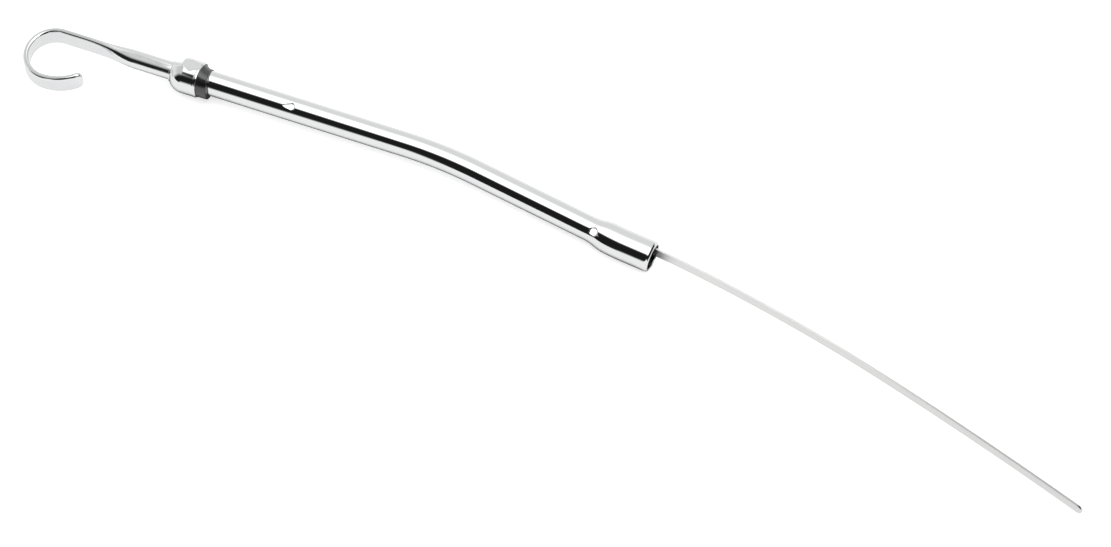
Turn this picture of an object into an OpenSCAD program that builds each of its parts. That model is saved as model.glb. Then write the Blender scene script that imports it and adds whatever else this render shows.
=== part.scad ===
// Engine oil dipstick pushed home in its guide tube, lying flat as it would come to rest.
// All axes of the parts lie in one plane, drawn here with +X out of the socket, and the whole
// is then laid down so that cap rim, socket lip and blade tip touch the ground at z = 0.

/* [Guide tube] */
// Outside diameter of the guide tube, a three-eighths inch tube
tube_od = 9.525; // [8:0.025:11]
// Wall of the guide tube
tube_wall = 1; // [0.8:0.05:1.2]
// Angle of the bend between the upper and the lower stretch
bend_angle = 9.55; // [8:0.05:11]
// Radius of the bend, on the tube's axis
bend_radius = 180; // [120:5:240]
// From the bend's corner up to the tube's open end under the cap
upper_len = 101.4; // [90:0.1:125]
// From the bend's corner down to the kink at the socket
lower_len = 77; // [75:0.5:95]
// Length of the swell from tube to socket
swell_len = 9.8; // [6:0.1:12]
// Widened straight stretch between the swell and the kink
swell_to_kink = 4.2; // [2:0.1:8]

/* [Socket] */
// Outside diameter of the stub in the engine block that the socket slips over
stub_od = 9.525; // [8:0.025:11]
// Room between the stub and the socket, all round
stub_clearance = 0.15; // [0.05:0.01:0.3]
// Wall of the socket
socket_wall = 1.1; // [0.8:0.05:1.5]
// Length of the socket from the kink to its mouth
socket_len = 13.2; // [8:0.1:20]
// Angle of the slight kink where the socket starts
kink_angle = 3.34; // [1:0.02:5]
// Rounding of the lip at the socket's mouth
lip_round = 0.5; // [0.2:0.05:0.5]

/* [Dents pressed into the tube] */
// Distance of the long dent from the bend's corner, on the upper stretch
press_long_at = 60.3; // [30:0.1:85]
// Radius of the long dent's round head
press_long_r = 1.5; // [1:0.05:1.8]
// Length of the long dent's tail, from the middle of its head
press_long_tail = 3.6; // [2.6:0.1:6]
// Depth of the long dent
press_long_depth = 0.45; // [0.2:0.01:0.5]
// How far the long dent lies to the near side of the punch's middle plane
press_long_off = 0.6; // [0:0.05:1]
// Distance of the round dent from the bend's corner, on the swell
press_round_at = 66.6; // [65:0.1:70]
// Radius of the round dent
press_round_r = 1.75; // [1:0.05:2]
// Depth of the round dent
press_round_depth = 0.8; // [0.3:0.01:0.8]
// How far the round dent lies to the near side of the punch's middle plane
press_round_off = 1.3; // [0:0.05:1.5]
// Angle between the top and the direction the dents are pressed from, to the near side
press_lean = 14; // [0:1:30]

/* [Cap] */
// Outside diameter of the cap
cap_od = 14.4; // [13.5:0.05:16]
// Wall of the cap
cap_wall = 0.6; // [0.4:0.05:0.8]
// How far the guide tube's open end reaches in past the cap's rim
tube_in_cap = 3; // [1:0.1:4]
// Length of the cap's straight skirt
skirt_len = 6; // [4:0.1:9]
// Length of the cap's dome
dome_len = 5.4; // [4.5:0.1:7]
// Length of the bead around the rim
bead_len = 1.4; // [0.8:0.1:2]
// How far the bead stands out of the skirt
bead_out = 0.12; // [0.05:0.01:0.3]
// Length of a stake dent
dent_len = 5.6; // [3:0.1:5.8]
// Depth of a stake dent
dent_depth = 0.36; // [0.15:0.01:0.38]
// Distance of the stake dents from the cap's rim
dent_in = 4.2; // [4:0.1:5.5]
// Angle of the first dent away from the top, to the near side; less than 0 is the far side
dent_lean = -14; // [-40:1:60]
// Number of stake dents around the cap
dent_count = 2; // [2:1:6]

/* [Seal] */
// Room between the seal and the cap's wall
seal_clearance = 0.1; // [0.05:0.01:0.3]
// How much of the seal shows below the cap's rim
seal_show = 4; // [2:0.1:8]
// Rounding of the seal's outer edge
seal_round = 1.4; // [0.5:0.1:1.6]
// Room between the seal and the guide tube
seal_tube_clearance = 0.08; // [0.02:0.01:0.3]

/* [Handle] */
// Outside diameter of the handle's tube
handle_od = 7.1; // [6.2:0.05:8]
// Wall of the handle's tube, which is two walls thick where it is pressed flat
handle_wall = 1.1; // [0.9:0.05:1.2]
// Room between the handle and the hole in the cap's crown
crown_clearance = 0.05; // [0.02:0.01:0.2]
// Length of the handle's round stretch, from the cap's crown to where it begins to flatten
round_len = 17.7; // [14:0.1:26]
// Length over which the tube goes from round to flat
flat_len = 15.8; // [10:0.1:22]
// Straight flat stretch before the hook
flat_straight = 11; // [4:0.5:20]
// Width of the flattened strip
strip_w = 9.2; // [8.2:0.1:10.5]
// How far the flat strip sits to the far side of the tube's axis
strip_shift = 0.2; // [0:0.05:0.6]
// Radius of the hook, on the strip's middle
hook_radius = 10.65; // [8:0.05:14]
// Radius of the hook's opened end
lead_radius = 17.5; // [14:0.5:24]
// Angle of the hook's opened end
lead_angle = 50; // [35:1:58]
// Rounding of the two corners at the hook's tip
tip_round = 2.8; // [1.5:0.1:4]

/* [Blade] */
// Width of the blade
blade_w = 4.6; // [4:0.05:4.75]
// Thickness of the blade
blade_t = 0.8; // [0.6:0.05:0.95]
// Room between the blade and the wall it leans on, the seal's slot and the handle's bore
blade_clearance = 0.1; // [0.05:0.01:0.2]
// How far the blade reaches into the handle's tube
blade_in_handle = 18; // [12:0.5:21]
// Heading of the blade off the lower tube's axis, where it leans on the wall at the swell
blade_lean = 3; // [2.5:0.1:3.4]
// Radius of the blade's first free stretch, from the swell outward
blade_r1 = 720; // [600:10:1200]
// Angle of the first free stretch
blade_turn1 = 10.1; // [6:0.1:12]
// Radius of the last stretch to the tip
blade_r2 = 1740; // [1000:20:3000]
// Angle of the last stretch
blade_turn2 = 2.75; // [1:0.05:4]

/* [Pin through handle and blade] */
// Diameter of the pin
pin_d = 1.6; // [1.2:0.05:2]
// Distance of the pin from the handle's lower end
pin_in = 2.8; // [2.2:0.1:4]
// Room around the pin
pin_clearance = 0.05; // [0.02:0.01:0.1]

/* [Hidden] */
$fn = 64;

// Headings of the axes in the drawing plane, in degrees, pointing down the tube.
h_low = -kink_angle;
h_up = h_low + bend_angle;
function dir(h) = [cos(h), sin(h), 0];
function left(h) = [-sin(h), cos(h), 0];
kink = [-socket_len, 0, 0];
corner = kink - lower_len * dir(h_low);
function up_at(s, off = 0) = corner - s * dir(h_up) + off * left(h_up);

// Where a right or left turn of radius r and angle a has its centre, and where it ends.
function turn_centre(p, h, r) = p - r * left(h);
function turn_end(p, h, r, a) = turn_centre(p, h, r) + r * left(h - a);

tube_r = tube_od / 2;
bore_r = tube_r - tube_wall;
socket_bore_r = stub_od / 2 + stub_clearance;
socket_r = socket_bore_r + socket_wall;
lip = min(lip_round, 0.45 * socket_wall);
bend_tangent = bend_radius * tan(bend_angle / 2);
swell_end = lower_len - swell_to_kink;
swell_start = swell_end - swell_len;

// Cap, seal and handle along the upper axis, all measured from the bend's corner.
cap_rim_at = upper_len - tube_in_cap;
cap_r = cap_od / 2;
skirt_top = cap_rim_at + skirt_len;
crown_at = skirt_top + dome_len;
handle_r = handle_od / 2;
handle_bore_r = handle_r - handle_wall;
crown_r = handle_r + crown_clearance;
seal_r = cap_r - cap_wall - seal_clearance;
seal_face = cap_rim_at - seal_show;
seal_top = skirt_top - 0.1;
seal_gap = 0.1;
handle_low = seal_top + 0.1;
handle_bore_end = handle_low + blade_in_handle + 2 * blade_clearance;
strip_t = 2 * handle_wall;
flat_start = crown_at + round_len;
flat_end = flat_start + flat_len;
hook_at = flat_end + flat_straight;
hook_off = strip_shift - hook_radius;

// The blade leans on the far wall at the swell. Its arc through the bend is tangent to the
// upper axis and to its own heading at that place.
lean_off = sqrt(pow(bore_r, 2) - pow(blade_w / 2, 2)) - blade_t / 2 - blade_clearance;
h_lean = h_low + blade_lean;
lean_point = corner + swell_start * dir(h_low) + lean_off * left(h_low);
arc0_angle = bend_angle - blade_lean;
meet_up = (lean_off * cos(blade_lean) - swell_start * sin(blade_lean)) / sin(arc0_angle);
meet = corner + meet_up * dir(h_up);
arc0_tangent = norm(lean_point - meet);
arc0_r = arc0_tangent / tan(arc0_angle / 2);
arc0_start = arc0_tangent - meet_up;
blade_p1 = turn_end(lean_point, h_lean, blade_r1, blade_turn1);
h_p1 = h_lean - blade_turn1;
blade_p2 = turn_end(blade_p1, h_p1, blade_r2, blade_turn2);
h_tip = h_p1 - blade_turn2;
blade_top = handle_low + blade_in_handle;
pin_at = handle_low + pin_in;

// Laying down: the three places that touch the ground give the direction that is up.
function unit(v) = v / norm(v);
function across(v, n) = unit(n - (v * n) * v);
function touch_cap(n) = up_at(cap_rim_at + bead_len / 2) - (cap_r + bead_out) * across(dir(h_up), n);
function touch_lip(n) = [-lip, 0, 0] - (socket_r - lip) * across([1, 0, 0], n) - lip * n;
function touch_tip(n) = blade_p2 - blade_w / 2 * across(left(h_tip), n)
    - blade_t / 2 * sign(left(h_tip) * n) * left(h_tip);
function upright(v) = v[2] < 0 ? -v : v;
function plane_of(a, b, c) = upright(unit(cross(b - a, c - a)));
function settle(n, rounds) = rounds == 0 ? n
    : settle(plane_of(touch_cap(n), touch_lip(n), touch_tip(n)), rounds - 1);
ground_up = settle([0, 0, 1], 8);
roll = atan2(ground_up[1], ground_up[2]);
pitch = atan2(-ground_up[0], norm([ground_up[1], ground_up[2]]));
lift = -(touch_lip(ground_up) * ground_up);

// Middle of the laid part's outer box: hook and blade tip in length, bend and hook in width.
hook_c = up_at(hook_at, hook_off);
hook_out = hook_radius + strip_t / 2;
bend_top = turn_centre(up_at(bend_tangent), h_up, bend_radius) + [0, bend_radius, 0];
x_low = (hook_c[0] - hook_out) * cos(pitch);
x_high = (blade_p2[0] + blade_w / 2 * cos(h_tip) + blade_t / 2 * abs(sin(h_tip))) * cos(pitch);
y_low = (hook_c[1] - hook_out) * cos(roll) - (strip_w - strip_t) / 2 * abs(sin(roll));
y_high = bend_top[1] * cos(roll) + tube_r;
module laid() {
    translate([-(x_low + x_high) / 2, -(y_low + y_high) / 2, lift])
        rotate([roll, pitch, 0])
            children();
}

// A solid of revolution about the upper axis or the lower axis; its profile's height is the
// distance from the bend's corner.
module about_upper() {
    translate(corner) rotate([0, 0, h_up]) rotate([0, -90, 0]) rotate_extrude($fn = 96) children();
}
module about_lower() {
    translate(corner) rotate([0, 0, h_low]) rotate([0, 90, 0]) rotate_extrude($fn = 96) children();
}
// A flat profile carried round a turn in the drawing plane, to the right or to the left. Each
// turn laps a little over its neighbours, and is drawn a hair thicker than they are.
hair = 0.045;
strip_hair = 0.01;
module right_turn(p, h, r, a, lap = 0.1) {
    d = lap / r * 180 / PI;
    translate(p - r * left(h)) rotate([0, 0, h + 90 - a - d])
        rotate_extrude(angle = a + 2 * d, $fn = 96) translate([r, 0]) children();
}
module left_turn(p, h, r, a, lap = 0.05) {
    d = lap / r * 180 / PI;
    translate(p + r * left(h)) rotate([0, 0, h - 90 - d])
        rotate_extrude(angle = a + 2 * d, $fn = 96) translate([r, 0]) children();
}
// A flat profile carried straight on from a point.
module straight(p, h, len) {
    translate(p) rotate([0, 0, h]) rotate([90, 0, 90]) linear_extrude(len) children();
}

// The swell's outline: two equal arcs that run from one radius to the other.
swell_steps = 8;
function swell_arc(from_r, to_r) =
    let(d = to_r - from_r, r = (swell_len * swell_len + d * d) / (4 * d),
        a = asin(swell_len / 2 / r))
    concat(
        [for (i = [0 : swell_steps]) let(t = a * i / swell_steps)
            [from_r + r * (1 - cos(t)), swell_start + r * sin(t)]],
        [for (i = [swell_steps - 1 : -1 : 0]) let(t = a * i / swell_steps)
            [to_r - r * (1 - cos(t)), swell_end - r * sin(t)]]);

// The tube's run as one solid, for its outside and again for its bore. A positive flare
// opens the mouth for the bore, a negative one rounds the outside.
lip_steps = 8;
module tube_run(r, rs, flare, over) {
    about_upper() translate([0, bend_tangent]) square([r, upper_len + over - bend_tangent]);
    right_turn(up_at(bend_tangent), h_up, bend_radius, bend_angle) circle(r + hair);
    about_lower() polygon(concat([[0, bend_tangent], [r, bend_tangent]], swell_arc(r, rs),
        [[rs, lower_len], [0, lower_len]]));
    // A ball a little wider than the tube closes the kink.
    translate(kink) rotate([0, 90, 0]) sphere(rs + 0.02, $fn = 96);
    rotate([0, 90, 0]) rotate_extrude($fn = 96)
        polygon(concat([[0, -socket_len], [rs, -socket_len]],
            [for (i = [0 : lip_steps]) let(t = 90 * i / lip_steps)
                [rs + flare * (1 - cos(t)), lip * (sin(t) - 1)]],
            [[rs + flare, over], [0, over]]));
}

// The dents are pressed in with a flat punch, so each has a flat floor and a wall as thick as
// the tube's behind it. The long one has a round head and a pointed tail towards the handle.
function drop_points(r, tip) =
    let(p = atan2(tip[1], tip[0]), a = acos(r / norm(tip)))
    concat([tip], [for (i = [0 : 24]) let(t = p + a + (360 - 2 * a) * i / 24) r * [cos(t), sin(t)]]);
tail_tip = [-press_long_tail, -0.5];
behind_more = 0.5;
module long_print(more) {
    polygon(drop_points(press_long_r + more, tail_tip * (1 + more / 2)));
}
module long_place() {
    translate(up_at(press_long_at)) rotate([0, 0, h_up]) rotate([press_lean, 0, 0])
        translate([0, -press_long_off, tube_r - press_long_depth]) children();
}
swell_r_at = tube_r + (socket_r - tube_r) * (press_round_at - swell_start) / swell_len;
swell_slope = atan((socket_r - tube_r) / swell_len);
module round_place() {
    translate(corner + press_round_at * dir(h_low)) rotate([0, 0, h_low])
        rotate([press_lean, 0, 0])
            translate([0, -press_round_off, swell_r_at - press_round_depth])
                rotate([0, -swell_slope, 0]) children();
}

module guide_tube() {
    color("silver")
        difference() {
            union() {
                difference() {
                    tube_run(tube_r, socket_r, -lip, 0);
                    tube_run(bore_r, socket_bore_r, lip, 1);
                }
                intersection() {
                    tube_run(tube_r, socket_r, -lip, 0);
                    union() {
                        long_place() translate([0, 0, -tube_wall])
                            linear_extrude(tube_wall) long_print(behind_more);
                        round_place() translate([0, 0, -tube_wall])
                            cylinder(h = tube_wall, r = press_round_r + behind_more, $fn = 64);
                    }
                }
            }
            long_place() linear_extrude(3) long_print(0);
            round_place() cylinder(h = 3, r = press_round_r, $fn = 64);
        }
}

// The dome's arc is tangent to the skirt and ends at the handle.
module cap() {
    drop = cap_r - crown_r;
    dome_r = (dome_len * dome_len + drop * drop) / (2 * drop);
    dome_a = asin(dome_len / dome_r);
    in_r = dome_r - cap_wall;
    in_a = acos((crown_r - cap_r + dome_r) / in_r);
    steps = 14;
    color("silver")
        difference() {
            about_upper() polygon(concat(
                [[cap_r - cap_wall, cap_rim_at + 0.15]],
                [[cap_r - cap_wall + 0.15, cap_rim_at]],
                [[cap_r + bead_out - 0.2, cap_rim_at]],
                [[cap_r + bead_out, cap_rim_at + 0.2]],
                [[cap_r + bead_out, cap_rim_at + bead_len - 0.35]],
                [[cap_r, cap_rim_at + bead_len]],
                [for (i = [0 : steps]) let(t = dome_a * i / steps)
                    [cap_r - dome_r * (1 - cos(t)), skirt_top + dome_r * sin(t)]],
                [for (i = [steps : -1 : 0]) let(t = in_a * i / steps)
                    [cap_r - dome_r + in_r * cos(t), skirt_top + in_r * sin(t)]]));
            // Stake dents, pressed in from outside.
            for (i = [0 : dent_count - 1])
                translate(up_at(cap_rim_at + dent_in)) rotate([0, 0, h_up])
                    rotate([i * 360 / dent_count + dent_lean, 0, 0])
                        translate([0, 0, cap_r - dent_depth + dent_r]) sphere(dent_r, $fn = 48);
        }
}
dent_r = (pow(dent_len / 2, 2) + pow(dent_depth, 2)) / (2 * dent_depth);

module seal() {
    steps = 8;
    color([0.07, 0.07, 0.07])
        difference() {
            about_upper() polygon(concat(
                [[0, seal_face]],
                [for (i = [0 : steps]) let(t = 90 * i / steps)
                    [seal_r - seal_round * (1 - sin(t)), seal_face + seal_round * (1 - cos(t))]],
                [[seal_r, seal_top], [0, seal_top]]));
            about_upper() translate([0, seal_face - 1])
                square([tube_r + seal_tube_clearance, upper_len + seal_gap - seal_face + 1]);
            straight(up_at(seal_top + 1), h_up, seal_top - seal_face + 2)
                square([blade_t + 2 * blade_clearance, blade_w + 2 * blade_clearance], center = true);
        }
}

// The section of the pressed strip: two walls thick, with full round edges.
module strip_section(more = 0) {
    square([strip_t + 2 * more, strip_w - strip_t], center = true);
    for (s = [-1, 1])
        translate([0, s * (strip_w - strip_t) / 2]) circle(strip_t / 2 + more, $fn = 32);
}
// Points of that section and of the round tube, in the same order, for the stretch between.
half_flat = (strip_w - strip_t) / 2;
ring_n = 40;
// The stretch between starts and ends a hair inside its neighbours.
tuck = 0.02;
tuck_len = 0.2;
function strip_point(f) =
    let(per = 4 * half_flat + PI * strip_t, u = f * per, q = half_flat, e = PI * strip_t / 2)
    u < q ? [strip_t / 2, u]
    : u < q + e ? let(t = (u - q) / e * 180) [strip_t / 2 * cos(t), q + strip_t / 2 * sin(t)]
    : u < 3 * q + e ? [-strip_t / 2, 2 * q + e - u]
    : u < 3 * q + 2 * e ? let(t = 180 + (u - 3 * q - e) / e * 180)
        [strip_t / 2 * cos(t), -q + strip_t / 2 * sin(t)]
    : [strip_t / 2, u - 4 * q - 2 * e];
function round_point(f) = (handle_r - tuck) * [cos(360 * f), sin(360 * f)];
function ease(t) = t * t * (3 - 2 * t);
flat_steps = 14;
module flattening() {
    thin = (strip_t - 2 * tuck) / strip_t;
    marks = concat([[-tuck_len, 0]],
        [for (k = [0 : flat_steps]) [k / flat_steps * flat_len, ease(k / flat_steps)]],
        [[flat_len + tuck_len, 1]]);
    rings = [for (m = marks) for (i = [0 : ring_n - 1])
        let(f = i / ring_n, e = m[1], p = (1 - e) * round_point(f) + e * thin * strip_point(f))
            [-(flat_start + m[0]), p[0] + e * strip_shift, p[1]]];
    last = len(marks) - 1;
    sides = [for (k = [0 : last - 1]) for (i = [0 : ring_n - 1])
        let(j = (i + 1) % ring_n, a = k * ring_n)
            for (face = [[a + i, a + j, a + ring_n + j], [a + i, a + ring_n + j, a + ring_n + i]]) face];
    mids = [[-(flat_start + marks[0][0]), 0, 0], [-(flat_start + marks[last][0]), strip_shift, 0]];
    far_mid = len(rings) + 1;
    ends = [for (i = [0 : ring_n - 1]) let(j = (i + 1) % ring_n)
        for (face = [[far_mid - 1, j, i], [far_mid, last * ring_n + i, last * ring_n + j]]) face];
    translate(corner) rotate([0, 0, h_up])
        polyhedron(concat(rings, mids), concat(sides, ends), convexity = 4);
}

module handle() {
    h_back = h_up + 180;
    p_hook = up_at(hook_at, strip_shift);
    p_lead = up_at(hook_at, hook_off - hook_radius);
    h_lead = h_up;
    h_end = h_lead + lead_angle;
    p_end = p_lead + lead_radius * (left(h_lead) - left(h_end));
    color("silver")
        union() {
            difference() {
                about_upper() translate([0, handle_low]) square([handle_r, flat_start - handle_low]);
                about_upper() translate([0, handle_low - 1])
                    square([handle_bore_r, handle_bore_end - handle_low + 1]);
                translate(up_at(pin_at)) rotate([0, 0, h_up]) rotate([90, 0, 0])
                    cylinder(d = pin_d + 2 * pin_clearance, h = 2 * handle_od, center = true, $fn = 32);
            }
            flattening();
            straight(up_at(flat_end, strip_shift), h_back, flat_straight) strip_section();
            left_turn(p_hook, h_back, hook_radius, 180) strip_section(strip_hair);
            intersection() {
                left_turn(p_lead, h_lead, lead_radius, lead_angle + 5) strip_section();
                translate(p_end) rotate([0, 0, h_end]) rotate([90, 0, 0])
                    linear_extrude(4 * lead_radius, center = true) {
                        translate([-2 * lead_radius, -strip_w]) square([2 * lead_radius - tip_round, 2 * strip_w]);
                        translate([-2 * tip_round, tip_round - strip_w / 2])
                            square([2 * tip_round, strip_w - 2 * tip_round]);
                        for (s = [-1, 1])
                            translate([-tip_round, s * (strip_w / 2 - tip_round)]) circle(tip_round, $fn = 48);
                    }
            }
        }
}

// The blade's middle line: straight on the axis, then through the bend and out of the socket.
function turn_marks(p, h, r, a, n) = [for (i = [1 : n]) let(t = a * i / n) [turn_end(p, h, r, t), h - t]];
blade_marks = concat(
    [[up_at(blade_top), h_up], [up_at(arc0_start), h_up]],
    turn_marks(up_at(arc0_start), h_up, arc0_r, arc0_angle, 30),
    turn_marks(lean_point, h_lean, blade_r1, blade_turn1, 30),
    turn_marks(blade_p1, h_p1, blade_r2, blade_turn2, 14));
blade_last = len(blade_marks) - 1;
module blade() {
    side = [for (s = [-1, 1]) [for (m = blade_marks) m[0] + s * blade_t / 2 * left(m[1])]];
    color([0.85, 0.86, 0.87])
        difference() {
            union() {
                linear_extrude(blade_w, center = true)
                    polygon([for (q = concat(side[0], [for (i = [blade_last : -1 : 0]) side[1][i]]))
                        [q[0], q[1]]]);
                // Round tip, a hair inside the strip where it joins.
                translate(blade_p2) rotate([0, 0, h_tip]) rotate([90, 0, 0])
                    cylinder(r = blade_w / 2 - tuck / 2, h = blade_t - tuck, center = true);
            }
            translate(up_at(pin_at)) rotate([0, 0, h_up]) rotate([90, 0, 0])
                cylinder(d = pin_d + 2 * pin_clearance, h = 2 * handle_od, center = true, $fn = 32);
        }
}

module blade_pin() {
    color("gray")
        translate(up_at(pin_at)) rotate([0, 0, h_up]) rotate([90, 0, 0])
            cylinder(d = pin_d, h = handle_od - 0.2, center = true, $fn = 32);
}

laid() guide_tube();
laid() handle();
laid() cap();
laid() seal();
laid() blade();
laid() blade_pin();
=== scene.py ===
# %% [markdown]
# # An engine oil dipstick in its chrome guide tube
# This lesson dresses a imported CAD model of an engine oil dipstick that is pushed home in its
# guide tube and lies on a table. The CAD solids hold the real sizes. Blender adds what the eye
# looks for: a tube that bends without facets, pressed dents, a stamped cap with its stake
# marks, a moulded rubber seal, a rolled blade, and the plating and studio that make chrome
# look like chrome.

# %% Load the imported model
import math
import bpy
import bmesh
from mathutils import Matrix, Vector


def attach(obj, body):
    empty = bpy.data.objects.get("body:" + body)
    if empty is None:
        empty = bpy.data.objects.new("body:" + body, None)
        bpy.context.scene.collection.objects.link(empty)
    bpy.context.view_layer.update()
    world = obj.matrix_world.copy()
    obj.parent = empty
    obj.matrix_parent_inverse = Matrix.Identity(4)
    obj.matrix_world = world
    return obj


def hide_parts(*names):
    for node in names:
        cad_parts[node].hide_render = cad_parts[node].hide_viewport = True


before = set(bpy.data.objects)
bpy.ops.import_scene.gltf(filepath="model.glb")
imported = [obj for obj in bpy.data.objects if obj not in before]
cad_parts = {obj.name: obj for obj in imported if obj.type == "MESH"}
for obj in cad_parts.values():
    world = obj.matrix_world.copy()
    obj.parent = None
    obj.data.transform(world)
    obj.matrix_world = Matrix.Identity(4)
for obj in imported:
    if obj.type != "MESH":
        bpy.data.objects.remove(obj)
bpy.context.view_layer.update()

print("nodes:", sorted(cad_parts))

# %% [markdown]
# ## How the part lies
# All axes of the real parts lie in one plane, so each piece is drawn in that plane first, in
# millimetres: +X runs out of the socket at the tube's lower end, +Z stands on the plane. The
# part then rests on three points, the cap's rim, the socket's lip and the blade's tip, which
# tips the plane a little. One matrix does that for every piece, so that no piece is placed by
# eye.

# %% The drawing plane and how it is laid down
MM = 0.001
ROLL, PITCH = math.radians(4.38945), math.radians(0.54369)
LAY = (Matrix.Translation((35.4245, 12.922, 6.00755))
       @ Matrix.Rotation(PITCH, 4, "Y") @ Matrix.Rotation(ROLL, 4, "X"))
UP = Vector((0, 0, 1))


def heading(angle):
    """The direction down the tube, for an angle in degrees in the drawing plane."""
    return Vector((math.cos(math.radians(angle)), math.sin(math.radians(angle)), 0))


def left_of(angle):
    """The direction to the far side of a heading."""
    return Vector((-math.sin(math.radians(angle)), math.cos(math.radians(angle)), 0))


def laid(point):
    """A point of the drawing plane in millimetres, laid on the table in metres."""
    return (LAY @ point) * MM


print("socket's mouth lies at", [round(v, 4) for v in laid(Vector((0, 0, 0)))])

# %% [markdown]
# ## The lines that the parts follow
# A bent tube or strip is a section carried along a line of straights and round bends. The
# line is kept as a list of steps: go straight for a length, or turn by an angle on a radius.
# A function walks it and gives the place and heading at any distance, which every swept piece
# then uses. It could be a Blender curve with a bevel, but a bevel can't swell, flatten or
# twist along the way as these parts do.

# %% Walk along a line of straights and bends
class Line:
    """A flat line of steps ("go", length) and ("turn", radius, angle); a positive angle turns left."""

    def __init__(self, start, angle, steps):
        self.parts, self.length = [], 0.0
        point = start.copy()
        for step in steps:
            size = step[1] if step[0] == "go" else step[1] * math.radians(abs(step[2]))
            self.parts.append((self.length, size, point.copy(), angle, step))
            point, angle = self._along(point, angle, step, size)
            self.length += size

    @staticmethod
    def _along(point, angle, step, distance):
        if step[0] == "go":
            return point + distance * heading(angle), angle
        side = 1 if step[2] > 0 else -1
        turned = angle + side * math.degrees(distance / step[1])
        return point + side * step[1] * (left_of(angle) - left_of(turned)), turned

    def at(self, distance):
        """Point and heading at a distance along the line."""
        for begin, size, point, angle, step in self.parts:
            if distance <= begin + size or step is self.parts[-1][4]:
                return self._along(point, angle, step, distance - begin)


LOW_HEADING, UP_HEADING = -3.34, 6.21          # degrees, below and above the tube's bend
UPPER, LOWER, SOCKET = 101.4, 77.0, 13.2       # mm of the tube above the bend, below it, at the socket
BEND_R, KINK_R = 180.0, 70.0                   # mm, on the tube's axis
KINK = Vector((-SOCKET, 0, 0))                 # where the socket starts
CORNER = KINK - LOWER * heading(LOW_HEADING)   # where the two straights of the tube would meet


def up_axis(distance):
    """A point of the upper axis, by its distance up from the bend's corner."""
    return CORNER - distance * heading(UP_HEADING)


bend_reach = BEND_R * math.tan(math.radians(UP_HEADING - LOW_HEADING) / 2)
kink_reach = KINK_R * math.tan(math.radians(-LOW_HEADING) / 2)
tube_line = Line(up_axis(UPPER), UP_HEADING, [
    ("go", UPPER - bend_reach),
    ("turn", BEND_R, LOW_HEADING - UP_HEADING),
    ("go", LOWER - bend_reach - kink_reach),
    ("turn", KINK_R, -LOW_HEADING),
    ("go", SOCKET - kink_reach)])
corner_at = UPPER - bend_reach + BEND_R * math.radians(UP_HEADING - LOW_HEADING) / 2
print("tube's axis: %.2f mm, ends at" % tube_line.length,
      [round(v, 3) for v in tube_line.at(tube_line.length)[0]])

# %% [markdown]
# ## A skin over rings
# Every piece here is a skin over rings of points: circles for a tube or cup, a flat oval for
# the handle's strip, a rounded bar for the blade. Each point also keeps how far it lies along
# and around the piece, in millimetres, as its texture coordinates, so that later the drawing
# and rolling marks can follow the metal round its bends at their real size.

# %% Make a mesh from rings
def skin(name, rings, along, ends=(False, False), ring_closed=False):
    """Joins rings of points in the drawing plane. ends closes the first and last ring with a fan;
    ring_closed joins the last ring to the first."""
    count = len(rings[0])
    mesh = bpy.data.meshes.new(name)
    points = [laid(p) for ring in rings for p in ring]
    faces, where = [], []
    around = []
    for ring in rings:
        total, marks = 0.0, [0.0]
        for i in range(count):
            total += (ring[(i + 1) % count] - ring[i]).length
            marks.append(total)
        around.append(marks)
    pairs = len(rings) if ring_closed else len(rings) - 1
    for k in range(pairs):
        n = (k + 1) % len(rings)
        far = along[n] if n else along[k] + (rings[0][0] - rings[k][0]).length
        for i in range(count):
            j = (i + 1) % count
            faces.append((k * count + i, k * count + j, n * count + j, n * count + i))
            where.append(((along[k], around[k][i]), (along[k], around[k][i + 1]),
                          (far, around[n][i + 1]), (far, around[n][i])))
    for closed, k in zip(ends, (0, len(rings) - 1)):
        if closed:
            middle = sum(rings[k], Vector()) / count
            points.append(laid(middle))
            for i in range(count):
                j = (i + 1) % count
                faces.append((k * count + i, k * count + j, len(points) - 1))
                where.append(((along[k], around[k][i]), (along[k], around[k][i + 1]),
                              (along[k], around[k][i])))
    mesh.from_pydata([tuple(p) for p in points], [], faces)
    layer = mesh.uv_layers.new(name="length_and_girth_mm")
    for face, spots in zip(mesh.polygons, where):
        for loop, spot in zip(face.loop_indices, spots):
            layer.data[loop].uv = spot
    work = bmesh.new()
    work.from_mesh(mesh)
    bmesh.ops.recalc_face_normals(work, faces=work.faces)
    work.to_mesh(mesh)
    work.free()
    mesh.shade_smooth()
    piece = bpy.data.objects.new(name, mesh)
    bpy.context.scene.collection.objects.link(piece)
    print("%s: %d faces" % (name, len(mesh.polygons)))
    return piece


def section(point, angle, outline):
    """Stands an outline of (far side, up) pairs across a heading."""
    return [point + a * left_of(angle) + b * UP for a, b in outline]


def spaced(start, end, step):
    """Even marks from start to end, about a step apart."""
    count = max(1, round(abs(end - start) / step))
    return [start + (end - start) * i / count for i in range(count + 1)]


def ease(t):
    """0 to 1 with a soft start and end."""
    t = min(1.0, max(0.0, t))
    return t * t * (3 - 2 * t)


# %% [markdown]
# ## The guide tube
# On the real part this is one steel tube of three eighths of an inch, bent once on a former.
# Its lower end is swaged out to a socket that slips over a stub in the engine block, its lip
# is rolled in, and two dents are pressed into its wall with a flat punch, one round and one
# drawn out to a drop. It could be a cylinder with a bend modifier and booleans for the dents,
# but their borders would leave marks in the chrome. Here the rings carry it all: their radius
# follows the swell and the lip, and the wall sinks to the punch's floor on a grid of rings
# that is finer there.

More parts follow.
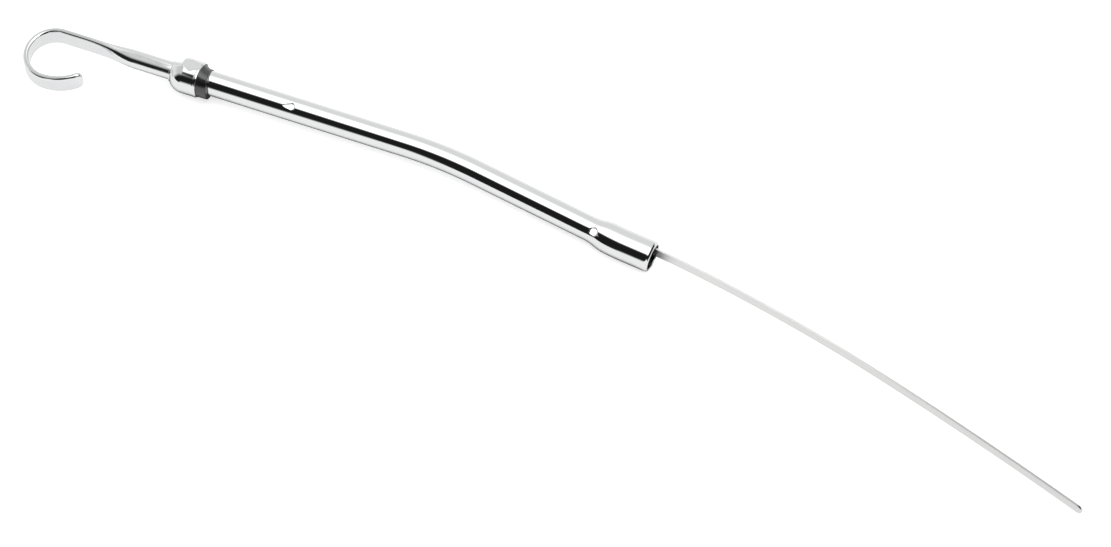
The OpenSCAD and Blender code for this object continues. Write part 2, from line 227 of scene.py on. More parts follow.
# %% Radius of the tube along its length
TUBE_R, BORE_R = 4.7625, 3.7625
SOCKET_R, SOCKET_BORE_R = 6.0125, 4.9125
SWELL_FROM, SWELL_TO = 63.0, 72.8              # mm below the bend's corner
SWELL_START, SWELL_END = corner_at + SWELL_FROM, corner_at + SWELL_TO
LIP_LONG, LIP_DEEP = 1.5, 0.95                 # how far the rolled lip reaches back, and in
LIP_TURNED, LIP_BEHIND = 0.35, 0.9             # where it is rolled to, and where the plain bore starts


def swelled(distance, small, large):
    """The radius at a distance: two equal arcs make the swell."""
    half = (SWELL_END - SWELL_START) / 2
    t = min(2 * half, max(0.0, distance - SWELL_START))
    rise = (large - small) / 2
    curve = lambda u: rise * (u / half) ** 2
    return small + curve(t) if t < half else large - curve(2 * half - t)


print("tube of %.3f mm swells to %.3f mm" % (2 * TUBE_R, 2 * SOCKET_R))

# %% Depth of the two dents pressed into the tube
PUNCH_WALL = 0.4                               # mm over which a dent's steep side runs
ROUND_R = 1.75                                 # radius of the round punch
DROP_HEAD, DROP_TAIL, TAIL_ASIDE = 1.5, 3.6, 0.5   # the drop's head, and its tail's length and swing


def round_punch(along, across):
    """1 inside a round punch's print, 0 outside, with a soft side."""
    return ease((ROUND_R - math.hypot(along, across)) / PUNCH_WALL)


def drop_punch(along, across):
    """The same for a drop: a round head towards the socket and a tail towards the handle."""
    if along > 0:
        return ease((DROP_HEAD - math.hypot(along, across)) / PUNCH_WALL)
    left = max(0.0, 1 + along / DROP_TAIL)
    across += along / DROP_TAIL * TAIL_ASIDE
    return ease((DROP_HEAD * left ** 0.8 - abs(across)) / PUNCH_WALL) * ease(left * 2.5)


# Place along the tube, then three angles round it in degrees: the middle of the print, the
# way the punch's flat end faced, and where its floor runs out on the near side.
DENTS = [(corner_at - 60.3, 20.0, 12.0, 37.0, drop_punch),
         (corner_at + 66.6, 31.0, 16.0, 49.0, round_punch)]


def dented(distance, turn, radius):
    """How far the wall moves, in mm, at a distance and an angle from the top to the near side."""
    moved = 0.0
    for at, middle, faced, runs_out, print_of in DENTS:
        if abs(distance - at) < 4.0 and abs(turn - faced) < 60:
            level = radius * math.cos(math.radians(runs_out - faced))
            floor = level / math.cos(math.radians(turn - faced))
            inside = print_of(distance - at, radius * math.radians(turn - middle))
            moved += min(0.0, floor - radius) * inside
    return moved


print("the drop sinks the wall by %.2f mm at its middle" % -dented(DENTS[0][0], DENTS[0][1], TUBE_R))

# %% Rings of the guide tube
def circle(point, angle, radius, count, lift=None):
    """A ring of points round a heading, counted from the top to the near side."""
    ring = []
    for i in range(count):
        turn = 360.0 * i / count
        r = radius + (lift(turn, radius) if lift else 0.0)
        ring.append(point - r * math.sin(math.radians(turn)) * left_of(angle)
                    + r * math.cos(math.radians(turn)) * UP)
    return ring


TUBE_SIDES = 180
tube_end = tube_line.length
fine = [m for at, *rest in DENTS for m in spaced(at - 4.2, at + 2.4, 0.12)]
plain = [m for m in spaced(0.0, tube_end - LIP_LONG, 1.6)
         if all(not at - 4.3 < m < at + 2.5 for at, *rest in DENTS)]
before_lip = [tube_end - LIP_LONG - back for back in (0.6, 0.3, 0.1)]
outside = [(m, swelled(m, TUBE_R, SOCKET_R)) for m in sorted(fine + plain + before_lip)]
lip_out = [(tube_end - LIP_LONG * (1 - math.sin(t)), SOCKET_R - LIP_DEEP * (1 - math.cos(t)))
           for t in [math.pi / 2 * i / 12 for i in range(1, 13)]]
roll_in = SOCKET_R - LIP_DEEP - SOCKET_BORE_R
lip_in = [(tube_end - LIP_TURNED * (1 - math.cos(t)), SOCKET_R - LIP_DEEP - roll_in * math.sin(t))
          for t in [math.pi / 2 * i / 6 for i in range(1, 7)]]
inside = [(m, swelled(m, BORE_R, SOCKET_BORE_R))
          for m in reversed(spaced(0.0, tube_end - LIP_BEHIND, 3.0))]
profile = outside + lip_out + lip_in + inside
rings, along, walked = [], [], 0.0
for i, (m, r) in enumerate(profile):
    point, angle = tube_line.at(m)
    outer = i < len(outside)
    rings.append(circle(point, angle, r, TUBE_SIDES,
                        (lambda turn, radius, m=m: dented(m, turn, radius)) if outer else None))
    if i:
        walked += math.hypot(m - profile[i - 1][0], r - profile[i - 1][1])
    along.append(walked)
tube = skin("guide_tube_drawn", rings, along, ring_closed=True)

# %% [markdown]
# ## The cap
# The real cap is a small cup, stamped from sheet steel and plated. Its dome closes on the
# handle in a short collar, its rim ends in a small bead, and stakes pressed in from the side
# lock it. A stake leaves a shallow roof-shaped dent: two flat facets that meet in a valley. A
# solid of revolution gives the cup, and each of its outer points is then pulled in to the
# facets, which keeps the crease where the photograph shows a V.

# %% Outline of the cap's wall
CAP_R, COLLAR_R = 6.92, 3.95
RIM, SHOULDER, CROWN = 98.4, 104.4, 109.8      # mm above the bend's corner


def arc(centre, radius, start, end, count):
    """Points (radius, height) on an arc, by angles in degrees."""
    return [(centre[0] + radius * math.cos(math.radians(a)),
             centre[1] + radius * math.sin(math.radians(a)))
            for a in [start + (end - start) * i / count for i in range(count + 1)]]


drop, rise = CAP_R - COLLAR_R, CROWN - SHOULDER
dome_r = (rise ** 2 + drop ** 2) / (2 * drop)
dome_a = math.degrees(math.asin(rise / dome_r))
cap_outside = (arc((CAP_R - 0.3, RIM + 0.12), 0.12, -90, -30, 2)
               + arc((CAP_R - 0.42, RIM + 0.75), 0.5, -50, 0, 5)
               + [(CAP_R + 0.02, h) for h in spaced(RIM + 1.0, SHOULDER, 0.2)]
               + arc((CAP_R - dome_r, SHOULDER), dome_r, 0, dome_a, 34)[1:]
               + arc((COLLAR_R, CROWN + 0.18), 0.18, -10, 90, 3) + [(3.66, CROWN + 0.36)])
cap_inside = ([(3.62, CROWN - 0.2), (4.4, SHOULDER + 2.6), (5.6, SHOULDER)]
              + [(6.4, h) for h in spaced(SHOULDER - 0.4, RIM + 0.2, 0.4)])
print("dome of %.1f mm radius over %.0f degrees" % (dome_r, dome_a))

# %% Stake dents
STAKES, STAKE_AT, STAKE_LEAN = 2, RIM + 4.0, -14.0
STAKE_REACH = 3.6                              # mm up and down from the valley
FACET_R, FACET_SLOPE = 6.2, 0.2                # the facets' distance from the axis, and their slope
CAP_WALL = 0.45                                # mm of sheet left where a stake pushes it in
CAP_SIDES = 200
CAMERA_SIDE = 29.0                             # the angle round the tube that faces the photograph


def staked(radius, height, turn):
    """The radius after the stakes have pulled the wall in to their facets, and after the tool has
    pressed the dome's far shoulder down to a step."""
    for k in range(STAKES):
        off = math.radians(turn - STAKE_LEAN - 360.0 / STAKES * k)
        if math.cos(off) > 0.5 and abs(height - STAKE_AT) < STAKE_REACH:
            facet = FACET_R + FACET_SLOPE * abs(height - STAKE_AT)
            radius = min(radius, facet / math.cos(off))
    around = (turn + 180) % 360 - 180
    pressed = ease((around + 120) / 25) * ease((6 - around) / 16)
    low = 4.75 - 0.15 * (height - SHOULDER)
    behind = ease((height - SHOULDER - 1.3) / 0.55)
    return radius - max(0.0, radius - low) * pressed * behind


def askew(height, turn):
    """How far the cap's rim is drawn down at the sides by its staking, in mm."""
    near_rim = ease((RIM + 3.2 - height) / 3.2)
    return 0.36 * near_rim * (1 - math.cos(2 * math.radians(turn - CAMERA_SIDE)))


def off_centre(height):
    """How far the cap leans to the near side, most at its rim."""
    return 0.1 * ease((CROWN - height) / (CROWN - SHOULDER))


cap_rings, cap_along, walked = [], [], 0.0
cap_profile = cap_outside + cap_inside
for i, (r, h) in enumerate(cap_profile):
    wall = 0.0 if i < len(cap_outside) else CAP_WALL
    ring = circle(up_axis(h) - off_centre(h) * left_of(UP_HEADING), UP_HEADING, r, CAP_SIDES,
                  (lambda turn, radius, h=h, wall=wall:
                   min(0.0, staked(radius + wall, h, turn) - wall - radius)) if r > 4.1 else None)
    cap_rings.append([p + askew(h, 360.0 * k / CAP_SIDES) * heading(UP_HEADING)
                      for k, p in enumerate(ring)])
    if i:
        walked += math.hypot(r - cap_profile[i - 1][0], h - cap_profile[i - 1][1])
    cap_along.append(walked)
cap = skin("cap_stamped", cap_rings, cap_along, ring_closed=True)

# %% [markdown]
# ## The seal
# The real seal is a plug of black nitrile rubber, moulded in one piece, that sits in the cap
# and closes the tube's mouth. Its outer edge is rounded, and soft rubber never sits quite
# square: its face leans a little, and its far side is squeezed in. Another solid of
# revolution, with the lean and the squeeze added to each ring, is all that it needs.

# %% Rings of the seal
SEAL_R, SEAL_BORE, SEAL_SIDES = 6.5, 4.8425, 96
seal_face, seal_top = 94.4, 104.3
seal_outline = ([(SEAL_BORE, seal_face + 0.2), (SEAL_BORE + 0.15, seal_face + 0.03)]
                + arc((SEAL_R - 0.5, seal_face + 0.5), 0.5, -90, 0, 8)
                + [(SEAL_R, h) for h in spaced(seal_face + 0.9, RIM + 0.3, 0.4)]
                + [(5.5, RIM + 0.9), (5.0, seal_top), (3.7, seal_top), (3.7, 101.6),
                   (SEAL_BORE, 101.6), (SEAL_BORE, RIM)])
SQUEEZED = 1.35                                # how far its face is squeezed in on the far side
seal_rings, seal_along, walked = [], [], 0.0
for i, (r, h) in enumerate(seal_outline):
    slope = ease((seal_top - h) / (seal_top - seal_face))
    squeeze = SQUEEZED * ease((RIM + 0.4 - h) / 3.6) * max(0.0, (r - SEAL_BORE) / (SEAL_R - SEAL_BORE))
    ring = circle(up_axis(h), UP_HEADING, r, SEAL_SIDES,
                  lambda turn, radius, squeeze=squeeze: -squeeze *
                  max(0.0, math.cos(math.radians(turn - CAMERA_SIDE + 90))) ** 1.5)
    leans = [slope * (0.25 + 0.6 * math.sin(math.radians(360.0 * k / SEAL_SIDES - CAMERA_SIDE)))
             for k in range(SEAL_SIDES)]
    seal_rings.append([p + lean * heading(UP_HEADING) for p, lean in zip(ring, leans)])
    if i:
        walked += math.hypot(r - seal_outline[i - 1][0], h - seal_outline[i - 1][1])
    seal_along.append(walked)
seal = skin("seal_moulded", seal_rings, seal_along, ring_closed=True)

# %% [markdown]
# ## The handle
# The real handle is one thin steel tube. It stays round at the cap, is pressed flat in a tool
# to a strip two walls thick, and the strip is curled into a finger hook whose end is cut
# round. The section is carried along the hook's line and changes on the way: circle first,
# then a flat oval with full round edges, and it narrows to the tip. That one sweep keeps the
# dark line of the upper edge unbroken, as it runs on the real one.

# %% Sections of the handle
HANDLE_R, STRIP_T = 3.55, 2.2
HANDLE_LOW = 104.45                            # mm above the bend's corner, as the next three
FLAT_START, FLAT_END, HOOK_AT = 124.5, 145.5, 154.3
HOOK_R, LEAD_R, LEAD_ANGLE = 10.4, 17.5, 50.0  # the half turn, then the opened end
STRIP_SHIFT, TIP_ROUND, TIP_THIN = 0.2, 2.8, 0.9


def oval(width, thick, count=56):
    """A flat oval: two flats and two full round edges, with points spaced along its girth."""
    radius, half = thick / 2, (width - thick) / 2
    girth = 4 * half + 2 * math.pi * radius
    points = []
    for i in range(count):
        u = girth * i / count
        bend = math.pi * radius
        if u < half:
            points.append((radius, u))
        elif u < half + bend:
            t = (u - half) / radius
            points.append((radius * math.cos(t), half + radius * math.sin(t)))
        elif u < 3 * half + bend:
            points.append((-radius, 2 * half + bend - u))
        elif u < 3 * half + 2 * bend:
            t = math.pi + (u - 3 * half - bend) / radius
            points.append((radius * math.cos(t), -half + radius * math.sin(t)))
        else:
            points.append((radius, u - girth))
    return points


def rounder(count=56):
    """The round tube's section, with its points in the same order."""
    return [(HANDLE_R * math.cos(2 * math.pi * i / count), HANDLE_R * math.sin(2 * math.pi * i / count))
            for i in range(count)]


hook_line = Line(up_axis(HANDLE_LOW), UP_HEADING + 180, [
    ("go", HOOK_AT - HANDLE_LOW),
    ("turn", HOOK_R, 180.0),
    ("turn", LEAD_R, LEAD_ANGLE)])
flat_from, flat_to = FLAT_START - HANDLE_LOW, FLAT_END - HANDLE_LOW


def strip_width(distance):
    """Width of the strip: it is drawn a little narrower where it is bent tightest."""
    bend_from = HOOK_AT - HANDLE_LOW
    middle = bend_from + HOOK_R * math.pi * 0.62
    return 9.0 - 1.0 * math.exp(-((distance - middle) / 15.0) ** 2)


print("handle: %.1f mm along its middle line" % hook_line.length)

# %% Rings of the handle
marks = spaced(0.0, flat_from, 2.5) + spaced(flat_from, flat_to, 0.5)[1:]
marks += spaced(flat_to, HOOK_AT - HANDLE_LOW, 1.2)[1:]
marks += spaced(HOOK_AT - HANDLE_LOW, hook_line.length - TIP_ROUND, 0.6)[1:]
tip_marks = [hook_line.length - TIP_ROUND * (1 - math.sin(math.pi / 2 * i / 12)) for i in range(1, 13)]
handle_rings, handle_along = [], []
for m in marks + tip_marks:
    point, angle = hook_line.at(m)
    width, thick = strip_width(m), STRIP_T
    if m in tip_marks:
        back = TIP_ROUND - (hook_line.length - m)
        width -= 2 * (TIP_ROUND - math.sqrt(max(0.0, TIP_ROUND ** 2 - back ** 2)))
        thinned = max(0.0, back - TIP_ROUND + TIP_THIN) / TIP_THIN
        thick = STRIP_T * math.sqrt(max(0.12, 1 - thinned ** 2))
    blend = ease((m - flat_from) / (flat_to - flat_from))
    shape = [((1 - blend) * r[0] + blend * (o[0] - STRIP_SHIFT), (1 - blend) * r[1] + blend * o[1])
             for r, o in zip(rounder(), oval(width, thick))]
    handle_rings.append(section(point, angle, shape))
    handle_along.append(m)
handle = skin("handle_pressed", handle_rings, handle_along, ends=(True, True))

# %% [markdown]
# ## The blade
# The blade is a long strip of thin steel, rolled and cut, on edge in the tube. It follows the
# tube's bend, leans on the wall at the swell and runs out of the socket in two shallow
# curves. A real strip is never quite true either: this one leans by a few degrees where it
# leaves the socket and stands upright again at its tip. So its section, a bar with small
# round edges, is turned a little as it is carried along.

# %% Line and sections of the blade
BLADE_W, BLADE_T, BLADE_GAP = 4.6, 0.8, 0.1
BLADE_TOP = 122.4                              # mm above the bend's corner
BLADE_LEAN = 3.0                               # degrees off the lower axis, where it leans on the wall
OUT_R, OUT_ANGLE, TIP_R, TIP_ANGLE = 720.0, 10.1, 1740.0, 2.75   # its two shallow curves
TWIST, TWIST_RISE = -4.0, 30                   # degrees, and the mm before the mouth that it takes
lean_off = math.sqrt(BORE_R ** 2 - (BLADE_W / 2) ** 2) - BLADE_T / 2 - BLADE_GAP
LEAN_HEADING = LOW_HEADING + BLADE_LEAN
turn0 = UP_HEADING - LEAN_HEADING
tilt = math.radians(BLADE_LEAN)
meet_up = (lean_off * math.cos(tilt) - SWELL_FROM * math.sin(tilt)) / math.sin(math.radians(turn0))
lean_point = CORNER + SWELL_FROM * heading(LOW_HEADING) + lean_off * left_of(LOW_HEADING)
reach0 = (lean_point - (CORNER + meet_up * heading(UP_HEADING))).length
arc0_r = reach0 / math.tan(math.radians(turn0) / 2)
arc0_start = reach0 - meet_up
blade_line = Line(up_axis(BLADE_TOP), UP_HEADING, [
    ("go", BLADE_TOP - arc0_start),
    ("turn", arc0_r, -turn0),
    ("turn", OUT_R, -OUT_ANGLE),
    ("turn", TIP_R, -TIP_ANGLE),
    ("go", BLADE_W / 2)])
mouth_at = BLADE_TOP - arc0_start + arc0_r * math.radians(turn0) + (LOWER - SWELL_FROM) + SOCKET
print("blade: %.1f mm, of which %.1f mm stand out" % (blade_line.length, blade_line.length - mouth_at))


def bar(width, thick, edge=0.1):
    """A bar with small round edges, as (far side, up) pairs; extra points keep its flats flat."""
    a, b, e = thick / 2, width / 2, min(edge, thick / 2.2, width / 2.2)
    quarter = [(a - e, b), (a - e + 0.38 * e, b - 0.076 * e), (a - 0.293 * e, b - 0.293 * e),
               (a - 0.076 * e, b - 0.62 * e), (a, b - e), (a, b - 2 * e if b > 3 * e else b - e * 1.01)]
    half = quarter + [(x, -y) for x, y in reversed(quarter)]
    return half + [(-x, -y) for x, y in half]


def twist(distance):
    """Lean of the blade's top to the near side, in degrees; less than 0 is the far side."""
    rising = ease((distance - mouth_at + TWIST_RISE) / TWIST_RISE)
    return TWIST * rising * (1 - ease((distance - mouth_at) / (blade_line.length - mouth_at)))


blade_marks = spaced(0.0, blade_line.length - BLADE_W / 2, 2.5)
tip = [blade_line.length - BLADE_W / 2 * (1 - math.sin(math.pi / 2 * i / 14)) for i in range(1, 14)]
blade_rings = []
for m in blade_marks + tip:
    point, angle = blade_line.at(m)
    past = max(0.0, m - (blade_line.length - BLADE_W / 2))
    width = 2 * math.sqrt((BLADE_W / 2) ** 2 - past ** 2)
    lean = math.radians(twist(m))
    turned = [(a * math.cos(lean) - b * math.sin(lean), a * math.sin(lean) + b * math.cos(lean))
              for a, b in bar(width, BLADE_T)]
    blade_rings.append(section(point, angle, turned))
blade = skin("blade_rolled", blade_rings, blade_marks + tip, ends=(True, True))

# %% [markdown]
# ## Colours and nodes
# Colours are written as sRGB hex values, as a paint chart gives them, and one function turns
# them to the linear values that the shaders want. One more small function adds a node to a
# material with its settings and its links.

# %% Two helpers for every material
def colour(hex_value):
    """An sRGB hex value as linear red, green, blue and alpha."""
    parts = [int(hex_value[i:i + 2], 16) / 255 for i in (1, 3, 5)]
    return [c / 12.92 if c <= 0.04045 else ((c + 0.055) / 1.055) ** 2.4 for c in parts] + [1.0]


def add(tree, kind, settings=None, **inputs):
    """Adds a node; inputs are values or other nodes' outputs, by socket name with _ for a space,
    or by number as in n0."""
    made = tree.nodes.new(kind)
    for key, value in (settings or {}).items():
        setattr(made, key, value)
    for key, value in inputs.items():
        spot = int(key[1:]) if key[0] == "n" and key[1:].isdigit() else key.replace("_", " ")
        socket = made.inputs[spot]
        if isinstance(value, bpy.types.NodeSocket):
            tree.links.new(value, socket)
        else:
            socket.default_value = value
    return made


def blank_material(name):
    """A material with nothing but its output."""
    made = bpy.data.materials.new(name)
    made.use_nodes = True
    made.node_tree.nodes.clear()
    return made, made.node_tree


print("mid grey #808080 is", round(colour("#808080")[0], 3), "in linear")

# %% [markdown]
# ## Chrome plate
# Decorative chrome is a very thin layer of chromium over nickel on polished steel. It mirrors
# its surroundings almost without tint, so it has no pattern of its own to paint: the eye reads
# it from small flaws in the mirror. Drawing leaves long shallow waves, polishing leaves a haze
# that comes and goes and fine lines, and these follow the metal. The real lines are some
# hundredths of a millimetre apart, too fine for the render, so they are drawn at a quarter of
# a millimetre.

# %% Chrome plate, for a drawn, a pressed and a stamped piece
def chrome_plate(name, wave_mm, wave_height_mm, haze):
    """Chrome over polished steel. wave_mm is the length of the waves that forming left."""
    made, tree = blank_material(name)
    uv = add(tree, "ShaderNodeTexCoord").outputs["UV"]
    waves = add(tree, "ShaderNodeMapping", Vector=uv, Scale=(1 / wave_mm, 2.5 / wave_mm, 1))
    wave = add(tree, "ShaderNodeTexNoise", Vector=waves.outputs[0], Scale=1.0, Detail=1.0)
    lines = add(tree, "ShaderNodeMapping", Vector=uv, Scale=(1 / 6.0, 1 / 0.25, 1))
    line = add(tree, "ShaderNodeTexNoise", Vector=lines.outputs[0], Scale=1.0, Detail=2.0)
    cloud = add(tree, "ShaderNodeMapping", Vector=uv, Scale=(1 / 9.0, 1 / 3.0, 1))
    patch = add(tree, "ShaderNodeTexNoise", Vector=cloud.outputs[0], Scale=1.0, Detail=3.0)
    rough = add(tree, "ShaderNodeMapRange", Value=patch.outputs["Fac"], From_Min=0.3, From_Max=0.7,
                To_Min=haze * 0.6, To_Max=haze * 1.4)
    tint = add(tree, "ShaderNodeMix", {"data_type": "RGBA"}, Factor=patch.outputs["Fac"],
               n6=colour("#eceded"), n7=colour("#f2f3f4"))
    bump = add(tree, "ShaderNodeBump", Height=wave.outputs["Fac"], Strength=1.0,
               Distance=wave_height_mm * MM)
    fine = add(tree, "ShaderNodeBump", Height=line.outputs["Fac"], Strength=1.0,
               Distance=0.0006 * MM, Normal=bump.outputs[0])
    metal = add(tree, "ShaderNodeBsdfPrincipled", Base_Color=tint.outputs[2], Metallic=1.0,
                Roughness=rough.outputs[0], Normal=fine.outputs[0])
    add(tree, "ShaderNodeOutputMaterial", Surface=metal.outputs[0])
    print(name, "has waves of", wave_mm, "mm")
    return made


tube_chrome = chrome_plate("chrome_plate_on_drawn_steel", 9.0, 0.004, 0.05)
handle_chrome = chrome_plate("chrome_plate_on_pressed_steel", 5.0, 0.006, 0.11)
cap_chrome = chrome_plate("chrome_plate_on_stamped_steel", 4.0, 0.004, 0.06)

# %% [markdown]
# ## Nitrile rubber
# The seal is moulded nitrile rubber, dark with carbon black. The mould's ground face leaves a
# fine even grain, about a third of a millimetre, and oil and handling leave it satin rather
# than dull: broad soft lights where it turns to the lamp.

# %% Moulded nitrile rubber
seal_rubber, tree = blank_material("nitrile_rubber_moulded")
place = add(tree, "ShaderNodeTexCoord").outputs["UV"]
grain = add(tree, "ShaderNodeTexNoise", Vector=place, Scale=1 / 0.35, Detail=2.0)
smear = add(tree, "ShaderNodeTexNoise", Vector=place, Scale=1 / 3.5, Detail=2.0)
dull = add(tree, "ShaderNodeMapRange", Value=smear.outputs["Fac"], From_Min=0.3, From_Max=0.7,
           To_Min=0.16, To_Max=0.24)
black = add(tree, "ShaderNodeMix", {"data_type": "RGBA"}, Factor=smear.outputs["Fac"],
            n6=colour("#111112"), n7=colour("#19191a"))
bump = add(tree, "ShaderNodeBump", Height=grain.outputs["Fac"], Strength=0.6, Distance=0.008 * MM)
rubber = add(tree, "ShaderNodeBsdfPrincipled", Base_Color=black.outputs[2], Metallic=0.0,
             IOR=1.6, Specular_IOR_Level=0.9, Roughness=dull.outputs[0], Normal=bump.outputs[0])
add(tree, "ShaderNodeOutputMaterial", Surface=rubber.outputs[0])
print("rubber grain of 0.35 mm")

# %% [markdown]
# ## Rolled steel
# The blade is cold-rolled spring steel with a bright satin face. The rolls leave fine lines
# along the strip, which stretch a highlight across it. Their real spacing is near a tenth of
# a millimetre; they are drawn at 0.3 mm so that they show. The hidden pin is plain turned
# wire of the same grey.

# %% Rolled spring steel and plain wire
def rolled_steel(name, light, dark, roughness, line_mm):
    """Bright steel with lines along its length."""
    made, tree = blank_material(name)
    uv = add(tree, "ShaderNodeTexCoord").outputs["UV"]
    along_mm = add(tree, "ShaderNodeMapping", Vector=uv, Scale=(1 / 25.0, 1 / line_mm, 1))
    line = add(tree, "ShaderNodeTexNoise", Vector=along_mm.outputs[0], Scale=1.0, Detail=3.0)
    cloud = add(tree, "ShaderNodeTexNoise", Vector=uv, Scale=1 / 12.0, Detail=2.0)
    tone = add(tree, "ShaderNodeMix", {"data_type": "RGBA"}, Factor=line.outputs["Fac"],
               n6=colour(dark), n7=colour(light))
    rough = add(tree, "ShaderNodeMapRange", Value=cloud.outputs["Fac"], From_Min=0.3, From_Max=0.7,
                To_Min=roughness * 0.85, To_Max=roughness * 1.15)
    bump = add(tree, "ShaderNodeBump", Height=line.outputs["Fac"], Strength=1.0, Distance=0.0015 * MM)
    metal = add(tree, "ShaderNodeBsdfPrincipled", Base_Color=tone.outputs[2], Metallic=1.0,
                Roughness=rough.outputs[0], Normal=bump.outputs[0])
    add(tree, "ShaderNodeOutputMaterial", Surface=metal.outputs[0])
    return made


blade_steel = rolled_steel("spring_steel_cold_rolled", "#f0f0ef", "#e4e4e3", 0.3, 0.3)
pin_steel = rolled_steel("steel_wire_plain", "#c4c4c3", "#b0b0af", 0.4, 0.2)
print("steel lines of 0.3 mm on the blade")

# %% [markdown]
# ## Each piece takes its node's place
# Every new piece stands for one CAD solid and takes the finish that the record names for it.
# The whole part is one body, since the dipstick only rests in its tube. The pin is hidden in
# the handle, so its CAD solid stays and only gets its steel.

# %% Dress the nodes
for piece, node, slot, finish in [
        (tube, "guide_tube", "tube_chrome", tube_chrome),
        (handle, "handle", "handle_chrome", handle_chrome),
        (cap, "cap", "cap_chrome", cap_chrome),
        (seal, "seal", "seal_rubber", seal_rubber),
        (blade, "blade", "blade_steel", blade_steel)]:
    piece.data.materials.append(finish)
    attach(piece, "root")
    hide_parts(node)
    print(piece.name, "stands for", node)
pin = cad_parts["blade_pin"]
pin.data.materials.clear()
pin.data.materials.append(pin_steel)

# %% [markdown]
# ## The camera
# The camera stands about 1.5 m from the part, raised 57 degrees and turned 66 degrees, with a
# long lens. Its place was worked out from where the hook, the tube's bend, the socket and the
# blade's tip stand in the photograph. The three columns of its matrix are the directions to
# its right, up and back.

# %% Place the camera
camera_data = bpy.data.cameras.new("camera")
camera_data.sensor_width = 36.0
camera_data.lens = 131.23
camera_data.clip_end = 20.0
camera = bpy.data.objects.new("camera", camera_data)
bpy.context.scene.collection.objects.link(camera)
right = Vector((0.89730769, 0.44067928, 0.02531308))
upward = Vector((-0.38138648, 0.74515159, 0.54707733))
backward = -Vector((-0.22222354, 0.50055076, -0.83669924))
turn = Matrix((right, upward, backward)).transposed().to_4x4()
camera.matrix_world = Matrix.Translation((0.33926418, -0.75988745, 1.2596488)) @ turn
bpy.context.scene.camera = camera
print("camera is raised", round(math.degrees(math.asin(backward.z)), 1), "degrees")

# %% [markdown]
# ## The table
# The part lies on a seamless sheet of white paper. Its diffuse colour catches the soft shadow.
# A little light of its own, only for rays from the camera, brings the open paper to white, so
# that the lamps needn't be turned up and the shadow stays. In a reflection the paper is as
# bright, and shaded only where the part stands over it: that shade is the thin dark line which
# runs along the lower side of every round piece. The hook and the blade are thin walls on edge
# and mirror only paper that lies close to them, so the shade ends before it reaches them, or
# else they would be dark all over.

# %% White paper under the part
PAPER_Z, PAPER_HALF = -0.00003, 4              # m: a hair under the part, and half its width
SHADED_MIDDLE, SHADED_HALF = -0.0725, 0.1065   # m along X: the stretch that keeps the shade
paper, tree = blank_material("paper_white_matt")
path = add(tree, "ShaderNodeLightPath")
fibre = add(tree, "ShaderNodeTexNoise", Scale=900.0, Detail=2.0,
            Vector=add(tree, "ShaderNodeTexCoord").outputs["Object"])
sheet = add(tree, "ShaderNodeMix", {"data_type": "RGBA"}, Factor=fibre.outputs["Fac"],
            n6=colour("#ececec"), n7=colour("#eeeeee"))
matt = add(tree, "ShaderNodeBsdfDiffuse", Color=sheet.outputs[2])
seen = add(tree, "ShaderNodeMath", {"operation": "MULTIPLY"}, n0=path.outputs["Is Camera Ray"],
           n1=0.5)
lit = add(tree, "ShaderNodeEmission", Color=(1, 1, 1, 1), Strength=seen.outputs[0])
open_paper = add(tree, "ShaderNodeAddShader", n0=matt.outputs[0], n1=lit.outputs[0])

# The mirrored paper: dark where little sky reaches it, but not past the two ends of the tube.
shade = add(tree, "ShaderNodeAmbientOcclusion", {"samples": 8}, Distance=0.015)
level = add(tree, "ShaderNodeMapRange", {"interpolation_type": "SMOOTHSTEP"},
            Value=shade.outputs["AO"], From_Min=0.48, From_Max=0.82, To_Min=0.1, To_Max=0.95)
spot = add(tree, "ShaderNodeSeparateXYZ", Vector=add(tree, "ShaderNodeTexCoord").outputs["Object"])
shifted = add(tree, "ShaderNodeMath", {"operation": "SUBTRACT"}, n0=spot.outputs["X"],
              n1=SHADED_MIDDLE)
outward = add(tree, "ShaderNodeMath", {"operation": "ABSOLUTE"}, n0=shifted.outputs[0])
past_ends = add(tree, "ShaderNodeMapRange", Value=outward.outputs[0], From_Min=SHADED_HALF,
                From_Max=SHADED_HALF + 0.008, To_Min=0.0, To_Max=0.87)
kept = add(tree, "ShaderNodeMath", {"operation": "MAXIMUM"}, n0=level.outputs[0],
           n1=past_ends.outputs[0])
reflected = add(tree, "ShaderNodeEmission", Color=(1, 1, 1, 1), Strength=kept.outputs[0])
mirrored = add(tree, "ShaderNodeMath", {"operation": "ADD"}, n0=path.outputs["Is Glossy Ray"],
               n1=path.outputs["Is Transmission Ray"])
either = add(tree, "ShaderNodeMixShader", Fac=mirrored.outputs[0], n1=open_paper.outputs[0],
             n2=reflected.outputs[0])
add(tree, "ShaderNodeOutputMaterial", Surface=either.outputs[0])

floor_mesh = bpy.data.meshes.new("paper_table")
corners = [(-1, -1), (1, -1), (1, 1), (-1, 1)]
floor_mesh.from_pydata([(PAPER_HALF * x, PAPER_HALF * y, PAPER_Z) for x, y in corners],
                       [], [(0, 1, 2, 3)])
floor_mesh.materials.append(paper)
floor = bpy.data.objects.new("paper_table", floor_mesh)
bpy.context.scene.collection.objects.link(floor)
print("paper of", 2 * PAPER_HALF, "by", 2 * PAPER_HALF, "m")

# %% [markdown]
# ## The overhead softbox
# Chrome shows the studio, so the studio is built with care. A wide softbox hangs low over the
# part and fades out towards the back. Its near edge runs at a slant and ends it over the tube,
# which is why the tube shows a white stripe. In front of that edge a black flag hangs in the
# same plane: it gives the upper border of the dark stripe beside the white one. It is there
# for reflections only, and other light passes it. The left edge ends both before the handle,
# which shows no white stripe. The mask is worked out from the cloth's own coordinates in
# metres, seen along the camera's level line: X to the right, Y away.

